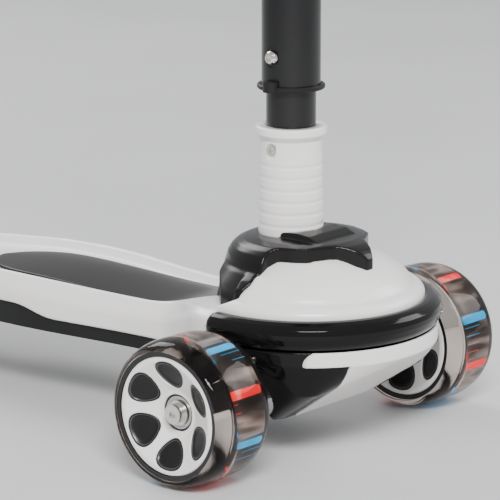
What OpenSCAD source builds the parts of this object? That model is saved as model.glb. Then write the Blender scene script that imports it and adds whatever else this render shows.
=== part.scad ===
// Child's three-wheeled kick scooter that steers by leaning.
// Millimetres. +X is the rider's left, +Y runs rearwards, +Z up, ground at z = 0.
// The deck carries the head, the neck and the stem. A sprung truck inside the
// head turns on a sloping kingpin and carries the two front wheels.

/* [Front wheels] */
// Front wheel diameter
front_d = 100; // [96:1:106]
// Front tyre width
front_w = 51; // [46:1:53]
// Distance between the middles of the two front wheels
track = 248; // [246:2:270]
// Thickness of the clear tyre outside its core
tyre_t = 7; // [5:0.5:8.5]
// Holes in each wheel disc
disc_holes = 6; // [4:1:6]
// Light bars in each front wheel
light_bars = 8; // [4:1:12]

/* [Rear wheel] */
// Rear wheel diameter
rear_d = 80; // [72:1:86]
// Rear tyre width
rear_w = 45; // [38:1:48]
// Distance between the front and rear axles
wheelbase = 400; // [385:5:480]

/* [Deck] */
// Deck width at its widest
deck_w = 120; // [112:2:140]
// Deck width at the waist behind the head
waist_w = 100; // [92:2:108]
// Height of the raised deck edges in the middle
lip_z = 92; // [90:1:97]
// Depth of the foot trough below the deck edges
trough = 7; // [5:0.5:9]
// Wall thickness of the mouldings
wall = 3; // [2.5:0.5:3.5]

/* [Head] */
// Radius of the white rim of the head
head_r = 80; // [76:1:81]
// Thickness of the bumper outside the rim
bumper_t = 12; // [9:1:12]
// Height of the top of the dome under the neck
dome_z = 141; // [138:1:150]

/* [Steering] */
// Kingpin diameter
kingpin_d = 10; // [8:0.5:12]
// Slope of the kingpin above the ground
king_slope = 45; // [42:1:50]
// Diameter of the truck arms
arm_d = 20; // [16:1:20]

/* [Stem and handlebar] */
// Outside diameter of the stem
stem_d = 34; // [30:0.5:36]
// Wall of the stem, the sleeve tube and the inner tube
tube_wall = 3; // [2:0.25:3.5]
// Height of the white neck
neck_h = 78; // [70:1:80]
// Length of the sleeve tube
sleeve_len = 300; // [270:5:340]
// Height of the handlebar at its lowest setting
bar_z = 640; // [620:5:700]
// Height adjustment of the handlebar
bar_travel = 150; // [80:5:150]
// Width of the handlebar over the grips
bar_w = 280; // [240:5:296]
// Handlebar tube diameter
bar_d = 22.2; // [20:0.1:25.4]
// Grip diameter
grip_d = 32; // [29:0.5:35]

/* [Fits] */
// Running fit on a turning pin, at the radius
running_gap = 0.05; // [0.02:0.01:0.1]
// Gap between pieces that seat on each other
seat_gap = 0.05; // [0.02:0.01:0.1]
// Sliding fit of the inner tube, at the radius
slide_gap = 0.08; // [0.03:0.01:0.1]

/* [Hidden] */
$fn = 64;
tiny = 0.01;

// Wheels
front_r = front_d / 2;
core_r = front_r - tyre_t;
core_t = 6;
disc_lip = 3;
disc_r = core_r - disc_lip;
disc_t = 2.2;
dish = 11.4;
half_w = front_w / 2;
bearing_r = 11;
bearing_bore = 4;
bearing_t = 7;
hub_half = 12;
hub_ring = 12.25;
hub_mid_r = 15;
hub_bore = 10;
hole_mid = (disc_r + hub_mid_r) / 2 - 0.6;
hole_long = (disc_r - hub_mid_r) / 2 - 2.6;
hole_wide = hole_mid * sin(180 / disc_holes) - 2;
hole_steps = 28;
light_w = 6;
light_deep = 2.4;
light_inset = 4.4;
rear_r = rear_d / 2;
rear_half = rear_w / 2;
rear_core = rear_r - tyre_t;
rear_light_n = 6;

// Places along the scooter, measured from the front axle
head_y = 3;
stem_y = 18;
bumper_r = head_r + bumper_t;
fender_gap = 6;
shoe_t = 2.6;
fender_t = 3;
fender_r = rear_r + fender_gap;
fender_back = fender_r + fender_t;
axle_y = (bumper_r - head_y - wheelbase - fender_back) / 2;

// Deck outline
join_y = 26;
waist_y = 95;
wide_y = 240;
wheel_gap = 9;
deck_end = wheelbase - rear_r - wheel_gap;
tail_w = 2 * (rear_half + 15);
dip_z = lip_z - 3;
tail_z = lip_z - 3;
shoulder_z = 105;
skirt_z = 64;
base_z = 54;
shoulder_y = join_y - 8;
shoulder_w = 2 * (head_r + bumper_t / 2);
foot_r = head_r - 16.5;
core_back = head_r - 28;
lip_w = 11;
pad_steps = 26;
grid_steps = 30;
pad_t = 3.5;
pad_front = 40;
pad_round = 25;
pad_back = 298;
pad_w = 68;

// Head
rim_z = 106.5;
rim_low = 80;
groove_z = 113;
bumper_z = 86;
bumper_h = 19;
chin_z = 75;
house_z = 29;
house_w = 120;
house_front = -17;
house_back = 40;
keel_w = 132;
keel_front = -52;
keel_z = 53;

// Neck and stem
neck_r = stem_d / 2 + seat_gap + 4.2;
neck_z = dome_z;
neck_top = neck_z + neck_h;
flange_h = 6;
flange_t = 3.2;
groove_pitch = 8.2;
groove_n = 6;
socket_r = stem_d / 2 + seat_gap + 3.5;
socket_z = 84;
sleeve_gap = 25;
sleeve_z = neck_top + sleeve_gap;
sleeve_in = stem_d / 2 + slide_gap;
sleeve_r = sleeve_in + tube_wall;
sleeve_top = sleeve_z + sleeve_len;
stem_top = sleeve_z + 60;
tube_bolt_z = sleeve_z + 23;
inner_r = stem_d / 2;
inner_z = stem_top + 6;
peg_r = 3;
peg_z = sleeve_z + 175;
slot_low = peg_z - bar_travel;
clamp_h = 26;
clamp_t = 5;
clamp_z = sleeve_top - clamp_h - 2;
clamp_mid = clamp_z + clamp_h / 2;
lever_x = 15.5;
lever_out = sleeve_r + clamp_t + 6 - lever_x;

// Steering
king_r = kingpin_d / 2;
pivot_y = 5;
pivot_z = front_r + 2;
truck_half = 13;
bush_t = 3;
truck_r = king_r + running_gap + bush_t + 5;
lug_gap = 0.5;
lug_t = 8;
lug_r = truck_r - 1;
plate_w = 2 * (truck_r + 2);
spine_v = truck_r + 2;
spine_t = 13;
wing_w = 78;
stop_near = 20;
stop_far = 32;
stop_t = 2.7;
arm_r = arm_d / 2;
axle_x = track / 2;
arm_end = axle_x - hub_half - 0.5;
beam_z = 58;
beam_h = 14;
beam_w = 36;

// Rear
brake_pin_r = 3;
cheek_gap = 2;
cheek_in = rear_half + cheek_gap;
cheek_t = 6;
cheek_r = 15;
barrel_r = brake_pin_r + 3.5;
brake_y = deck_end + barrel_r + 1;
brake_z = rear_r + 40;
spring_w = 12;

function ease(a, b, t) = a + (b - a) * (1 - cos(180 * max(0, min(1, t)))) / 2;
function between(y, y0, y1) = (y - y0) / (y1 - y0);
function deck_curve(y) = (y < waist_y)
    ? ease(shoulder_w, waist_w, between(y, join_y - 6, waist_y)) / 2
    : (y < wide_y) ? ease(waist_w, deck_w, between(y, waist_y, wide_y)) / 2
    : ease(deck_w, tail_w, between(y, wide_y + 30, wheelbase)) / 2;
function lip_curve(y) = (y < waist_y + 20)
    ? ease(shoulder_z, dip_z, between(y, join_y, waist_y + 20))
    : (y < wide_y) ? ease(dip_z, lip_z, between(y, waist_y + 20, wide_y))
    : ease(lip_z, tail_z, between(y, wide_y, deck_end));
function floor_curve(y) = lip_curve(y) - ease(13, trough, between(y, join_y, waist_y));
function trough_half(y) = (y < waist_y ? waist_w / 2 : deck_half(y)) - lip_w;
function pad_half(y) = pad_w / 2 * (y < wide_y
    ? sqrt(max(0, 1 - pow(min(0, between(y, pad_front, pad_front + pad_round) - 1), 2)))
    : sqrt(max(0, 1 - pow(between(y, wide_y, pad_back), 2))));
function skirt_height(y) = ease(skirt_z, skirt_z + 7, between(y, 190, 230));
function evenly(a, b, n) = [for (i = [0:n]) a + (b - a) * i / n];

// Every piece of the deck follows the same straight segments between these stations
grid = evenly(join_y - 40, deck_end + 12, grid_steps);
half_table = [for (y = grid) [y, deck_curve(y)]];
lip_table = [for (y = grid) [y, lip_curve(y)]];
floor_table = [for (y = grid) [y, floor_curve(y)]];
function deck_half(y) = lookup(y, half_table);
function lip_height(y) = lookup(y, lip_table);
function floor_height(y) = lookup(y, floor_table);
function steps(a, b) = concat([a], [for (y = grid) if (y > a + 0.02 && y < b - 0.02) y], [b]);
function tyre_edge(r0, t, w, n) = [for (i = [0:n]) let (x = w * cos(180 * i / n))
    [r0 + t * (0.12 + 0.88 * sqrt(1 - pow(abs(x) / w, 3.1))), x]];
function egg(grow) = [for (i = [0:hole_steps - 1]) let (t = 360 * i / hole_steps)
    [hole_mid + (hole_long + grow) * cos(t),
     (hole_wide + grow) * (0.97 + 0.3 * cos(t)) * sin(t)]];

module at_axle() {
    translate([0, axle_y, 0]) children();
}

module spun(x) {
    translate([x, 0, front_r]) rotate([0, 90, 0]) rotate_extrude() children();
}

module x_rod(r, x0, x1) {
    translate([x0, 0, 0]) rotate([0, 90, 0]) cylinder(r = r, h = x1 - x0);
}

module tube(r_out, r_in, z0, z1) {
    difference() {
        translate([0, 0, z0]) cylinder(r = r_out, h = z1 - z0);
        translate([0, 0, z0 - 1]) cylinder(r = r_in, h = z1 - z0 + 2);
    }
}

module hex_socket(r, deep) {
    translate([0, 0, -tiny]) cylinder(r = r, h = deep + tiny, $fn = 6);
}

// Plan of the deck, narrowed by "inset", as a prism between two heights
module plan_prism(inset, y0, y1, z0, z1) {
    ys = steps(y0, y1);
    pts = concat([for (y = ys) [deck_half(y) - inset, y]],
        [for (i = [len(ys) - 1:-1:0]) [inset - deck_half(ys[i]), ys[i]]]);
    translate([0, 0, z0]) linear_extrude(z1 - z0) polygon(pts);
}

module pad_plan(grow) {
    ys = evenly(pad_front + 1, pad_back - 0.5, pad_steps);
    polygon(concat([for (y = ys) [pad_half(y) + grow, y]],
        [for (i = [pad_steps:-1:0]) [-pad_half(ys[i]) - grow, ys[i]]]));
}

// Slab across the deck between two height curves, given as lists of [y, z]
module side_slab(low, high) {
    n = len(low) - 1;
    rotate([90, 0, 90]) translate([0, 0, -deck_w]) linear_extrude(2 * deck_w)
        polygon(concat(low, [for (i = [n:-1:0]) high[i]]));
}

// Foot trough: a channel of even width at the head that follows the deck behind the waist
module trough_cut(g) {
    ys = steps(join_y, deck_end + 12);
    difference() {
        intersection() {
            linear_extrude(160) polygon(concat([for (y = ys) [trough_half(y) - g, y]],
                [for (i = [len(ys) - 1:-1:0]) [g - trough_half(ys[i]), ys[i]]]));
            side_slab([for (y = ys) [y, floor_height(y) + g]], [for (y = ys) [y, 170]]);
        }
        head_disc(foot_r - 8 + g, 50, 175);
    }
}

module under_slab(drop, low) {
    ys = steps(join_y - 40, deck_end + 12);
    side_slab([for (y = ys) [y, low]], [for (y = ys) [y, floor_height(y) - drop]]);
}

module head_disc(r, z0, z1) {
    translate([0, head_y, z0]) cylinder(r = r, h = z1 - z0);
}

// Dome and rim of the head; outside "core_back" they end where the deck begins
module dome_solid(drop) {
    end = 24 - (drop > 0 ? 0.5 : drop);
    translate([0, head_y, 0]) difference() {
        rotate_extrude() dome_profile(drop);
        difference() {
            rotate([90, 0, 90]) translate([0, -drop, -150]) linear_extrude(300)
                polygon([[1 - drop, groove_z + 0.5], [7.7 - drop, groove_z - 2.8], [18 - drop, groove_z - 7],
                    [end - head_y, 95], [end - head_y, 30], [150, 30], [150, 180], [1 - drop, 180]]);
            cylinder(r = core_back - drop, h = 190);
        }
    }
}

module dome_profile(drop) {
    low = drop > 0 ? 40 : rim_low;
    polygon([[0, low], [head_r - drop, low], [head_r - drop, rim_z + 1], [head_r - 2 - drop, groove_z - 2],
        [head_r - 8 - drop, groove_z], [head_r - 11 - drop, groove_z + 5 - drop / 2],
        [head_r - 17 - drop, groove_z + 10 - drop * 0.7], [50 - drop, 129 - drop],
        [42 - drop, 134 - drop], [neck_r + 8, dome_z - 2 - drop], [0, dome_z - drop]]);
}

module deck_shell() {
    ys = steps(shoulder_y, deck_end);
    color("white") at_axle() difference() {
        union() {
            dome_solid(0);
            intersection() {
                plan_prism(0, shoulder_y, deck_end, 50, 130);
                side_slab([for (y = ys) [y, skirt_height(y)]], [for (y = ys) [y, lip_height(y)]]);
            }
        }
        translate([0, 0, -tiny]) dome_solid(wall);
        trough_cut(0);
        intersection() {
            plan_prism(wall, shoulder_y + wall, deck_end - wall, 40, 120);
            under_slab(wall, 40);
        }
        pad_seat(0);
        for (s = [-1, 1]) translate([s * (cheek_in + cheek_t / 2), deck_end, 50])
            translate([-cheek_t / 2 - seat_gap, -wall - 1, 0])
                cube([cheek_t + 2 * seat_gap, wall + 2, tail_z - 11 - 50 + seat_gap]);
        translate([0, stem_y, 100]) cylinder(r = stem_d / 2 + seat_gap, h = 60);
        at_screws() translate([0, 0, 50]) cylinder(r = screw_r - 0.4, h = 26);
    }
}

module pad_seat(grow) {
    ys = steps(join_y - 40, deck_end + 12);
    intersection() {
        linear_extrude(160) pad_plan(-grow);
        side_slab([for (y = ys) [y, floor_height(y) - 1.2 + grow]],
            [for (y = ys) [y, floor_height(y) + (grow > 0 ? pad_t - 1.2 : 9)]]);
        difference() {
            translate([-100, 0, 50]) cube([200, 400, 100]);
            head_disc(foot_r + 0.5 + grow, 40, 170);
        }
    }
}

module deck_pad() {
    color("dimgray") at_axle() pad_seat(seat_gap);
}

screw_r = 2;
module at_screws() {
    for (y = [130, 225, 320], s = [-1, 1])
        translate([s * (beam_w / 2 + 12), y, 0]) children();
}

module deck_base() {
    ys = steps(join_y + 36, deck_end + 12);
    color("#202022") at_axle() difference() {
        union() {
            intersection() {
                plan_prism(wall + seat_gap, join_y + 36, deck_end - wall - seat_gap, base_z, 120);
                under_slab(wall + seat_gap, base_z);
            }
            for (s = [-1, 1]) translate([s > 0 ? cheek_in : -cheek_in - cheek_t, 0, 0]) cheek();
        }
        difference() {
            plan_prism(2 * wall + 2, join_y + 36 + wall, deck_end - 3 * wall, base_z + wall, 120);
            for (s = [-1, 1]) translate([s * (beam_w / 2 + 4) - wall / 2, 100, 40])
                cube([wall, 400, 80]);
            at_screws() translate([0, 0, 40]) cylinder(r = 5, h = 80);
        }
        translate([0, wheelbase, rear_r]) x_rod(rear_r + 5, -cheek_in, cheek_in);
        translate([-beam_w / 2 - seat_gap, 0, beam_z - seat_gap])
            cube([beam_w + 2 * seat_gap, waist_y + 25, 60]);
        translate([0, wheelbase, rear_r]) x_rod(bearing_bore + running_gap, -80, 80);
        translate([0, brake_y, brake_z]) x_rod(brake_pin_r + running_gap, -80, 80);
        at_screws() {
            translate([0, 0, 40]) cylinder(r = screw_r + 0.2, h = 80);
            translate([0, 0, 40]) cylinder(r = 2 * screw_r + 0.3, h = base_z - 40 + 2.2);
        }
    }
}

// Side plate that holds the rear axle and the brake pin
module cheek() {
    rotate([90, 0, 90]) linear_extrude(cheek_t) difference() {
        union() {
            polygon([[deck_end - 12, base_z], [wheelbase - cheek_r, rear_r - 6],
                [wheelbase, rear_r - cheek_r + 2], [wheelbase + cheek_r - 3, rear_r + 2],
                [wheelbase + cheek_r - 6, rear_r + 14], [brake_y + 10, brake_z + 7],
                [deck_end + 0.2, brake_z + 7], [deck_end + 0.2, tail_z - 11],
                [deck_end - 12, tail_z - 12]]);
            translate([wheelbase, rear_r]) circle(r = cheek_r);
        }
    }
}

module deck_screws() {
    color("silver") at_axle() at_screws() difference() {
        union() {
            translate([0, 0, base_z + 0.2]) cylinder(r = 2 * screw_r, h = 2);
            translate([0, 0, base_z + 1]) cylinder(r = screw_r - 0.45, h = 20);
        }
        translate([0, 0, base_z]) hex_socket(1.2, 1.4);
    }
}

module bumper_profile() {
    b = bumper_t;
    polygon([[head_r + seat_gap, bumper_z], [head_r + 5, bumper_z - 1],
        [head_r + b - 3, bumper_z + 2], [head_r + b - 0.7, bumper_z + 5.5],
        [head_r + b, bumper_z + 9], [head_r + b - 0.6, bumper_z + 13],
        [head_r + b - 3, bumper_z + 16.8], [head_r + b - 6, bumper_z + 18.5],
        [head_r + 3, bumper_z + bumper_h], [head_r + seat_gap, bumper_z + bumper_h]]);
}

module front_bumper() {
    color("#101012") at_axle() difference() {
        translate([0, head_y, 0]) rotate_extrude() bumper_profile();
        translate([-150, shoulder_y - seat_gap, 0]) cube([300, 200, 200]);
    }
}

// Solid of the lower front, grown by "g", tapering from the bumper to the keel
module keel(g) {
    top = bumper_z - 1 - seat_gap;
    hull() {
        translate([0, head_y, chin_z]) cylinder(r = head_r + 8 + g, h = top - chin_z);
        for (s = [-1, 1], y = [keel_front + 14, house_back - 14])
            translate([s * (keel_w / 2 - 14), y, keel_z]) cylinder(r = 14 + g, h = 4, $fn = 32);
        for (s = [-1, 1], y = [house_front + 12, house_back - 12])
            translate([s * (house_w / 2 - 12), y, house_z]) cylinder(r = 12 + g, h = 4, $fn = 32);
    }
}

module lower_housing() {
    arm_swing = arm_r + 11;
    color("#161618") at_axle() difference() {
        keel(0);
        translate([0, 0, -tiny]) difference() {
            keel(-wall);
            translate([0, head_y, bumper_z - 1 - wall]) cylinder(r = head_r + 20, h = 20);
        }
        head_disc(head_r - 6, 60, 120);
        head_disc(head_r + seat_gap, rim_low - seat_gap, 120);
        translate([-house_w / 2 + wall, house_front + wall + 3, 10])
            cube([house_w - 2 * wall, house_back - house_front - 2 * wall - 3, 30]);
        translate([0, 0, front_r]) x_rod(arm_swing, -120, 120);
        translate([-120, house_front + 4, 0]) cube([240, arm_swing - house_front, front_r]);
        translate([-150, shoulder_y - seat_gap, 0]) cube([300, 200, 200]);
        chin_solid(seat_gap);
        at_housing_screws() x_rod(1.6, -40, 40);
    }
}

// Region of the chin: a band under the bumper and a leg that narrows downwards
module chin_area(g) {
    rotate([90, 0, 0]) translate([0, 0, -40]) linear_extrude(200) polygon([
        [-69.5 - g, chin_z + 4.5], [-70 - g, chin_z - g], [-47 - g, chin_z - g],
        [-38 - g, house_z - 2], [38 + g, house_z - 2], [47 + g, chin_z - g],
        [70 + g, chin_z - g], [69.5 + g, chin_z + 4.5], [67.5 + g, chin_z + 8],
        [64 + g, bumper_z], [-64 - g, bumper_z], [-67.5 - g, chin_z + 8]]);
}

module chin_solid(g) {
    intersection() {
        difference() {
            keel(1.4 + g);
            keel(-1.2 - g);
        }
        chin_area(g);
        translate([-100, -150, 0]) cube([200, 150 - arm_r - 8 + g, 200]);
    }
}

module chin_trim() {
    color("white") at_axle() chin_solid(0);
}

module at_housing_screws() {
    for (s = [-1, 1]) translate([s * head_r, -20, 78]) children();
}

module housing_screws() {
    color("silver") at_axle() for (s = [-1, 1])
        translate([s * (head_r + 7.9), -20, 78]) rotate([0, -s * 90, 0]) difference() {
            union() {
                cylinder(r = 3, h = 1.8);
                cylinder(r = 1.55, h = 8);
            }
            hex_socket(1.1, 1);
        }
}

// Black cover behind the dome: a drum round the neck, a wing down each side of the dome,
// and a hood in front of the neck that runs out to a point on the dome
module saddle_cover() {
    half = [[3, -51], [8, -45], [15, -34], [26, -27.5], [33.5, -23], [38.4, -15], [42, -5.5],
        [48, -2], [55.6, 0], [65, -1.4], [70.5, 2], [72.5, 10.7], [69, 22], [61, 30], [50, 39.5],
        [30, 45]] * (head_r / 80);
    color("#141416") at_axle() difference() {
        union() {
            intersection() {
                translate([0, head_y, 0]) rotate_extrude() polygon([[0, 80], [foot_r, 80],
                    [foot_r - 0.5, 97], [foot_r - 2.5, 108], [foot_r - 4.7, 118],
                    [foot_r - 7.1, dome_z - 13], [foot_r - 9, dome_z - 6.5], [foot_r - 11.6, dome_z - 2.4],
                    [foot_r - 15, dome_z + 0.6], [foot_r - 20, dome_z + 2.8], [foot_r - 28, dome_z + 4.2],
                    [0, dome_z + 4.5]]);
                union() {
                    translate([-100, -2, 70]) cube([200, 200, 120]);
                    wing_plan(half);
                }
            }
            intersection() {
                wing_plan(half);
                union() {
                    intersection() {
                        translate([0, head_y, 0]) rotate_extrude() dome_profile(-1.8);
                        translate([-100, -100, 90]) cube([200, 108, 120]);
                    }
                    intersection() {
                        translate([0, head_y, 0]) rotate_extrude() polygon([[0, 80], [head_r - 6, 80],
                            [head_r - 7, 110], [head_r - 10, 114.5], [head_r - 15, 120], [head_r - 21, 126.5],
                            [head_r - 28, 132.5], [0, 134]]);
                        translate([-100, 5, 70]) cube([200, 108, 120]);
                    }
                }
            }
            intersection() {
                rotate([90, 0, 90]) translate([0, 0, -21]) linear_extrude(42) polygon([
                    [-53, dome_z - 11], [-42, dome_z - 6.5], [-31, dome_z - 1], [-20, dome_z + 5.5],
                    [-14, dome_z + 8], [-4, dome_z + 8.8], [8, dome_z + 8], [24, dome_z + 3],
                    [24, dome_z - 30], [-53, dome_z - 30]]);
                wing_plan(half);
            }
        }
        dome_solid(-seat_gap);
        deck_top();
        translate([0, stem_y, 100]) cylinder(r = neck_r + 1, h = 90);
    }
}

module wing_plan(half) {
    n = len(half) - 1;
    translate([0, 0, 85]) linear_extrude(90)
        polygon(concat(half, [for (i = [n:-1:0]) [-half[i][0], half[i][1]]]));
}

// Everything at or below the upper surface of the deck
module deck_top() {
    ys = steps(join_y - 40, deck_end + 12);
    side_slab([for (y = ys) [y, 0]], [for (y = ys) [y, floor_height(y) + seat_gap]]);
    difference() {
        side_slab([for (y = ys) [y, 0]], [for (y = ys) [y, lip_height(y) + seat_gap]]);
        trough_cut(seat_gap);
    }
}

module neck_sleeve() {
    r = neck_r;
    color("white") at_axle() translate([0, stem_y, 0]) difference() {
        rotate_extrude() polygon(concat(
            [[stem_d / 2 + seat_gap, neck_z + 0.3], [r + 0.8, neck_z + 0.3]],
            [for (i = [0:groove_n - 1], k = [0:3]) let (z = neck_z + 9 + i * groove_pitch)
                [r + 0.7 - 0.1 * i - (k == 1 || k == 2 ? 0.5 : 0), z + [0, 0.8, 2.2, 3][k]]],
            [[r, neck_top - flange_h - 3], [r + flange_t - 0.4, neck_top - flange_h],
            [r + flange_t, neck_top - flange_h + 1], [r + flange_t, neck_top - 1],
            [r + flange_t - 1, neck_top], [stem_d / 2 + seat_gap, neck_top]]));
        translate([0, 0, neck_top - 15]) x_rod(2.1, -60, 0);
        translate([0, 0, neck_top - 15]) x_rod(4, -60, 1.6 - r);
    }
}

module neck_screw() {
    color("silver") at_axle() translate([1 - neck_r, stem_y, neck_top - 15])
        rotate([0, 90, 0]) difference() {
            union() {
                translate([0, 0, -1.6]) cylinder(r = 3.6, h = 2.1);
                cylinder(r = 2, h = 7.5);
            }
            for (a = [0, 90]) rotate([0, 0, a]) translate([-2.2, -0.4, -2]) cube([4.4, 0.8, 1.4]);
        }
}

module lower_tube() {
    color("#1c1c1e") at_axle() translate([0, stem_y, 0]) difference() {
        tube(stem_d / 2, stem_d / 2 - tube_wall, socket_z, stem_top);
        translate([0, 0, neck_top - 15]) x_rod(2.1, -60, 0);
        translate([0, 0, tube_bolt_z]) x_rod(3.1, -60, 60);
    }
}

module tube_bolt() {
    out = sleeve_r + 0.3;
    color("silver") at_axle() translate([0, stem_y, tube_bolt_z]) difference() {
        union() {
            x_rod(3, -out - 1, out + 5);
            translate([-out, 0, 0]) rotate([0, -90, 0]) rotate_extrude()
                polygon([[0, 0], [4.9, 0], [4.6, 1.4], [3.6, 2.8], [2.6, 3.4], [0, 3.4]]);
            translate([out, 0, 0]) rotate([0, 90, 0]) cylinder(r = 5.6, h = 4, $fn = 6);
        }
        translate([-out - 3.4, 0, 0]) rotate([0, 90, 0]) hex_socket(1.9, 2.2);
    }
}

module outer_tube() {
    color("#1a1a1c") at_axle() translate([0, stem_y, 0]) difference() {
        tube(sleeve_r, sleeve_in, sleeve_z, sleeve_top);
        translate([0, 0, tube_bolt_z]) x_rod(3.1, -60, 60);
        for (s = [-1, 1]) translate([0, 0, tube_bolt_z]) rotate([0, s * 90, 0])
            translate([0, 0, sleeve_r - 0.6]) cylinder(r = 7, h = 10);
        translate([0, 0, peg_z]) rotate([-90, 0, 0]) cylinder(r = peg_r + seat_gap, h = 60);
        translate([-1.5, 0, sleeve_top - 38]) cube([3, 60, 60]);
    }
}

module end_ring() {
    color("#26262a") at_axle() translate([0, stem_y, sleeve_z]) difference() {
        union() {
            rotate_extrude() polygon([[sleeve_r + seat_gap, 0], [sleeve_r + 2.2, 0],
                [sleeve_r + 3, 0.8], [sleeve_r + 3, 2.6], [sleeve_r + 2.2, 3.4],
                [sleeve_r + seat_gap, 3.4]]);
            translate([-sleeve_r - 1.2, 0, 0]) cylinder(r = 5.5, h = 7);
        }
        translate([0, 0, -1]) cylinder(r = sleeve_r + seat_gap, h = 20);
    }
}

module guide_peg() {
    color("silver") at_axle() translate([0, stem_y, peg_z]) rotate([-90, 0, 0])
        rotate_extrude() polygon([[0, inner_r - tube_wall + 0.5],
            [peg_r, inner_r - tube_wall + 0.5], [peg_r, sleeve_r + 0.2],
            [peg_r + 1.6, sleeve_r + 0.2], [peg_r + 1.2, sleeve_r + 1.6], [0, sleeve_r + 2]]);
}

module clamp_collar() {
    r = sleeve_r + clamp_t;
    color("#202024") at_axle() translate([0, stem_y, 0]) difference() {
        union() {
            translate([0, 0, clamp_z]) cylinder(r = r, h = clamp_h);
            translate([-9.5, 0, clamp_z]) cube([19, r + 12, clamp_h]);
        }
        translate([0, 0, clamp_z - 1]) cylinder(r = sleeve_r + seat_gap, h = clamp_h + 2);
        translate([-1.5, 0, clamp_z - 1]) cube([3, 80, clamp_h + 2]);
        translate([0, r + 5, clamp_mid]) x_rod(2.6, -30, 30);
    }
}

module clamp_bolt() {
    r = sleeve_r + clamp_t;
    color("silver") at_axle() translate([0, stem_y + r + 5, clamp_mid]) {
        x_rod(2.5, -10, lever_x);
        translate([-9.6, 0, 0]) rotate([0, -90, 0]) cylinder(r = 4.6, h = 4, $fn = 6);
        translate([lever_x, 0, -8.5]) cylinder(r = 2.6, h = 17);
        translate([lever_x, 0, -4.4]) cylinder(r = 4.4, h = 8.8);
    }
}

// Cam lever: turns on the upright cross pin at the end of the clamp bolt
module clamp_lever() {
    r = sleeve_r + clamp_t;
    color("#2a2a2e") at_axle() translate([lever_x, stem_y + r + 5, clamp_mid]) difference() {
        union() {
            translate([0, 0, -9]) cylinder(r = 5.6, h = 18);
            translate([0, 0, -9]) linear_extrude(18) polygon([[-3.5, 3.5], [4.5, 0],
                [lever_out, -20], [lever_out + 2, -42], [lever_out - 0.5, -46],
                [lever_out - 3, -43], [lever_out - 5, -24], [2.5, -8]]);
        }
        translate([0, 0, -10]) cylinder(r = 2.6 + running_gap, h = 20);
        translate([-20, -40, -4.9]) cube([26.2, 60, 9.8]);
    }
}

// Steering frame: u runs along the kingpin, v square to it, both in the middle plane
module king_frame() {
    translate([0, pivot_y, pivot_z]) rotate([90 - king_slope, 0, 0]) children();
}

module plate_uv(u0, u1, v0, v1, w) {
    translate([-w / 2, v0, u0]) cube([w, v1 - v0, u1 - u0]);
}

module chassis() {
    u1 = truck_half + lug_gap;
    color("slategray") at_axle() difference() {
        union() {
            king_frame() {
                for (s = [-1, 1]) {
                    translate([0, 0, s > 0 ? u1 : -u1 - lug_t]) cylinder(r = lug_r, h = lug_t);
                    plate_uv(s > 0 ? u1 : -u1 - lug_t, s > 0 ? u1 + lug_t : -u1, 0,
                        spine_v + spine_t, 2 * lug_r);
                }
                plate_uv(-u1 - lug_t, u1 + lug_t, spine_v, spine_v + spine_t, 2 * lug_r);
                plate_uv(-7, 7, arm_r + stop_t + 4.4, arm_r + stop_t + 10, wing_w);
            }
            translate([0, stem_y, socket_z - 4]) cylinder(r = socket_r, h = neck_z - socket_z - 6);
            translate([-beam_w / 2, stem_y, beam_z]) cube([beam_w, waist_y - stem_y + 20, beam_h]);
            translate([-8, stem_y + 14, beam_z + 2]) cube([16, 16, 50]);
        }
        translate([0, stem_y, socket_z]) cylinder(r = stem_d / 2 + seat_gap, h = 90);
        king_frame() {
            translate([0, 0, -u1 - lug_t - 1]) cylinder(r = king_r + seat_gap, h = 2 * u1 + 2 * lug_t + 2);
            translate([0, 0, -u1]) cylinder(r = truck_r + 1.5, h = 2 * u1);
            translate([0, 0, u1 + lug_t]) cylinder(r = king_r + 5, h = 30);
            translate([0, 0, -u1 - lug_t - 30]) cylinder(r = king_r + 5, h = 30);
        }
        translate([-beam_w / 2 + 4, stem_y + 42, beam_z - 1]) cube([beam_w - 8, 40, beam_h + 2]);
    }
}

module steer_stops() {
    color("#303030") at_axle() king_frame() for (s = [-1, 1])
        translate([s * (stop_near + stop_far) / 2, arm_r + 4.4 + seat_gap, 0])
            rotate([-90, 0, 0]) cylinder(r = (stop_far - stop_near) / 2, h = stop_t - 2 * seat_gap);
}

module kingpin_bolt() {
    u1 = truck_half + lug_gap + lug_t;
    color("silver") at_axle() king_frame() difference() {
        union() {
            translate([0, 0, -u1 - 1]) cylinder(r = king_r, h = 2 * u1 + 9);
            translate([0, 0, -u1 - 5.5]) cylinder(r = king_r + 3.6, h = 5.5 - seat_gap);
        }
        translate([0, 0, -u1 - 5.5]) hex_socket(king_r * 0.6, 3);
    }
}

module kingpin_nut() {
    u1 = truck_half + lug_gap + lug_t + seat_gap;
    color("silver") at_axle() king_frame() difference() {
        translate([0, 0, u1]) cylinder(r = king_r + 4.4, h = 6.5, $fn = 6);
        translate([0, 0, u1 - 1]) cylinder(r = king_r + seat_gap, h = 10);
    }
}

module truck_beam() {
    color("gray") at_axle() difference() {
        union() {
            king_frame() translate([0, 0, -truck_half]) cylinder(r = truck_r, h = 2 * truck_half);
            translate([0, 0, front_r]) x_rod(arm_r - 1, -arm_end, arm_end);
            for (s = [-1, 1]) translate([s * 88, 0, front_r]) rotate([0, s * 90, 0])
                cylinder(r1 = arm_r, r2 = arm_r - 2, h = arm_end - 88);
            translate([0, 0, front_r]) x_rod(arm_r, -88, 88);
        }
        king_frame() translate([0, 0, -truck_half - 1])
            cylinder(r = king_r + running_gap + bush_t + seat_gap, h = 2 * truck_half + 2);
        for (s = [-1, 1]) translate([0, 0, front_r])
            x_rod(bearing_bore + seat_gap, s > 0 ? arm_end - 34 : -arm_end - 1,
                s > 0 ? arm_end + 1 : 34 - arm_end);
    }
}

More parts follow.
